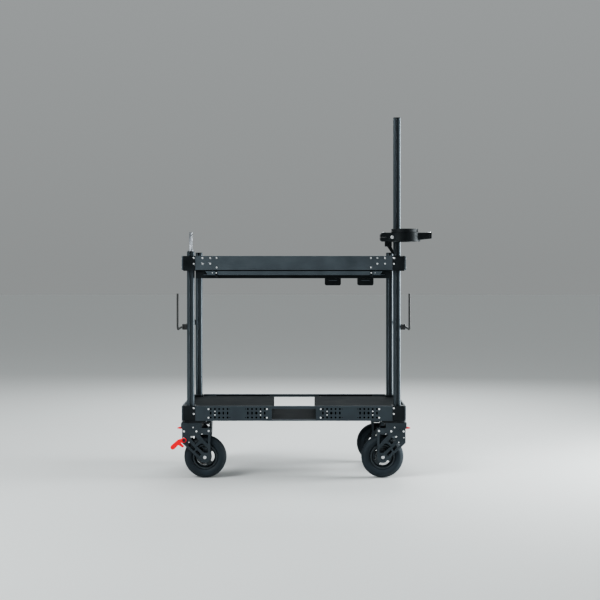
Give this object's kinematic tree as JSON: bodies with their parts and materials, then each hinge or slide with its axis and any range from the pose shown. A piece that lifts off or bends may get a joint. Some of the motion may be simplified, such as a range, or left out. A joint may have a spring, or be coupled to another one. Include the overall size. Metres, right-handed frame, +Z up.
{
  "type": "camera cart",
  "caption": "Rolling camera cart with an upper and a lower tray, slotted posts, a tall mast with a tripod bowl, a slide-out tray, stand hooks and braked swivel casters.",
  "frame": {"origin": "middle of the footprint's bounding box, on the floor", "axes": "+X to the right seen from the open front, +Y to the rear, +Z up along the mast"},
  "size_m": [1.216, 0.85, 1.698],
  "materials": {
    "rail_slate": "satin powder coat, slate grey",
    "post_black": "black anodised, slotted",
    "block_black": "black anodised, machined",
    "deck_black": "matte black powder coat",
    "rod_black": "satin black",
    "pod_black": "fine grain",
    "fork_black": "black anodised",
    "head_black": "black zinc",
    "rim_black": "satin black",
    "tyre_rubber": "matte, ribbed",
    "steel_bright": "bright turned steel",
    "lever_red": "satin red",
    "lever_black": "satin black"
  },
  "bodies": {
    "cart_frame": {"post_front_left": "post_black", "mast_post_front_right": "post_black", "post_rear_left": "post_black", "post_rear_right": "post_black", "top_corner_front_left": "block_black", "top_corner_front_right": "block_black", "top_corner_rear_left": "block_black", "top_corner_rear_right": "block_black", "top_rail_front": "rail_slate", "top_rail_rear": "rail_slate", "top_rail_left": "rail_slate", "top_rail_right": "rail_slate", "top_deck": "deck_black", "bottom_corner_front_left": "block_black", "bottom_corner_front_right": "block_black", "bottom_corner_rear_left": "block_black", "bottom_corner_rear_right": "block_black", "bottom_rail_front": "rail_slate", "bottom_rail_rear": "rail_slate", "bottom_rail_left": "rail_slate", "bottom_rail_right": "rail_slate", "bottom_deck": "deck_black", "slide_cradle": "deck_black", "undertray_pod_inner": "pod_black", "undertray_pod_outer": "pod_black", "stand_hook_left": "rod_black", "stand_hook_right": "rod_black", "light_spigot": "steel_bright", "caster_fl_swivel_head": "head_black", "caster_fr_swivel_head": "head_black", "caster_rl_swivel_head": "head_black", "caster_rr_swivel_head": "head_black"},
    "slide_tray": {"slide_tray": "rail_slate"},
    "camera_mount": {"camera_mount_arm": "block_black", "tripod_bowl": "post_black"},
    "mount_clamp_lever": {"mount_clamp_lever": "lever_black"},
    "caster_fl_fork": {"caster_fl_fork": "fork_black", "caster_fl_axle": "steel_bright"},
    "caster_fl_wheel": {"caster_fl_rim": "rim_black", "caster_fl_tyre": "tyre_rubber"},
    "caster_fl_brake": {"caster_fl_brake_lever": "lever_red"},
    "caster_fl_lock": {"caster_fl_swivel_lock": "lever_red"},
    "caster_fr_fork": {"caster_fr_fork": "fork_black", "caster_fr_axle": "steel_bright"},
    "caster_fr_wheel": {"caster_fr_rim": "rim_black", "caster_fr_tyre": "tyre_rubber"},
    "caster_fr_brake": {"caster_fr_brake_lever": "lever_red"},
    "caster_fr_lock": {"caster_fr_swivel_lock": "lever_red"},
    "caster_rl_fork": {"caster_rl_fork": "fork_black", "caster_rl_axle": "steel_bright"},
    "caster_rl_wheel": {"caster_rl_rim": "rim_black", "caster_rl_tyre": "tyre_rubber"},
    "caster_rl_brake": {"caster_rl_brake_lever": "lever_red"},
    "caster_rl_lock": {"caster_rl_swivel_lock": "lever_red"},
    "caster_rr_fork": {"caster_rr_fork": "fork_black", "caster_rr_axle": "steel_bright"},
    "caster_rr_wheel": {"caster_rr_rim": "rim_black", "caster_rr_tyre": "tyre_rubber"},
    "caster_rr_brake": {"caster_rr_brake_lever": "lever_red"},
    "caster_rr_lock": {"caster_rr_swivel_lock": "lever_red"}
  },
  "joints": [
    {"name": "slide_tray_out", "type": "slide", "parent": "cart_frame", "child": "slide_tray", "axis": [0, -1, 0], "range_m": [0, 0.3]},
    {"name": "camera_mount_height", "type": "slide", "parent": "cart_frame", "child": "camera_mount", "axis": [0, 0, 1], "range_m": [0, 0.5]},
    {"name": "mount_clamp_turn", "type": "hinge", "parent": "camera_mount", "child": "mount_clamp_lever", "pos_m": [0.412, -0.233, 1.099], "axis": [0, 1, 0], "range_deg": [0, 90]},
    {"name": "caster_fl_swivel", "type": "hinge", "parent": "cart_frame", "child": "caster_fl_fork", "pos_m": [-0.49, -0.155, 0.237], "axis": [0, 0, 1], "continuous": true},
    {"name": "caster_fl_spin", "type": "hinge", "parent": "caster_fl_fork", "child": "caster_fl_wheel", "pos_m": [-0.447, -0.155, 0.10014], "axis": [0, 1, 0], "continuous": true},
    {"name": "caster_fl_brake_press", "type": "hinge", "parent": "caster_fl_fork", "child": "caster_fl_brake", "pos_m": [-0.544, -0.155, 0.181], "axis": [0, 1, 0], "range_deg": [0, 150]},
    {"name": "caster_fl_lock_push", "type": "slide", "parent": "caster_fl_fork", "child": "caster_fl_lock", "axis": [1, 0, 0], "range_m": [0, 0.007]},
    {"name": "caster_fr_swivel", "type": "hinge", "parent": "cart_frame", "child": "caster_fr_fork", "pos_m": [0.432, -0.155, 0.237], "axis": [0, 0, 1], "continuous": true},
    {"name": "caster_fr_spin", "type": "hinge", "parent": "caster_fr_fork", "child": "caster_fr_wheel", "pos_m": [0.389, -0.155, 0.10014], "axis": [0, 1, 0], "continuous": true},
    {"name": "caster_fr_brake_press", "type": "hinge", "parent": "caster_fr_fork", "child": "caster_fr_brake", "pos_m": [0.486, -0.155, 0.181], "axis": [0, 1, 0], "range_deg": [0, 150]},
    {"name": "caster_fr_lock_push", "type": "slide", "parent": "caster_fr_fork", "child": "caster_fr_lock", "axis": [-1, 0, 0], "range_m": [0, 0.007]},
    {"name": "caster_rl_swivel", "type": "hinge", "parent": "cart_frame", "child": "caster_rl_fork", "pos_m": [-0.49, 0.335, 0.237], "axis": [0, 0, 1], "continuous": true},
    {"name": "caster_rl_spin", "type": "hinge", "parent": "caster_rl_fork", "child": "caster_rl_wheel", "pos_m": [-0.49, 0.292, 0.10014], "axis": [1, 0, 0], "continuous": true},
    {"name": "caster_rl_brake_press", "type": "hinge", "parent": "caster_rl_fork", "child": "caster_rl_brake", "pos_m": [-0.49, 0.389, 0.181], "axis": [-1, 0, 0], "range_deg": [0, 150]},
    {"name": "caster_rl_lock_push", "type": "slide", "parent": "caster_rl_fork", "child": "caster_rl_lock", "axis": [0, -1, 0], "range_m": [0, 0.007]},
    {"name": "caster_rr_swivel", "type": "hinge", "parent": "cart_frame", "child": "caster_rr_fork", "pos_m": [0.432, 0.335, 0.237], "axis": [0, 0, 1], "continuous": true},
    {"name": "caster_rr_spin", "type": "hinge", "parent": "caster_rr_fork", "child": "caster_rr_wheel", "pos_m": [0.389, 0.335, 0.10014], "axis": [0, 1, 0], "continuous": true},
    {"name": "caster_rr_brake_press", "type": "hinge", "parent": "caster_rr_fork", "child": "caster_rr_brake", "pos_m": [0.486, 0.335, 0.181], "axis": [0, 1, 0], "range_deg": [0, 150]},
    {"name": "caster_rr_lock_push", "type": "slide", "parent": "caster_rr_fork", "child": "caster_rr_lock", "axis": [-1, 0, 0], "range_m": [0, 0.007]}
  ]
}
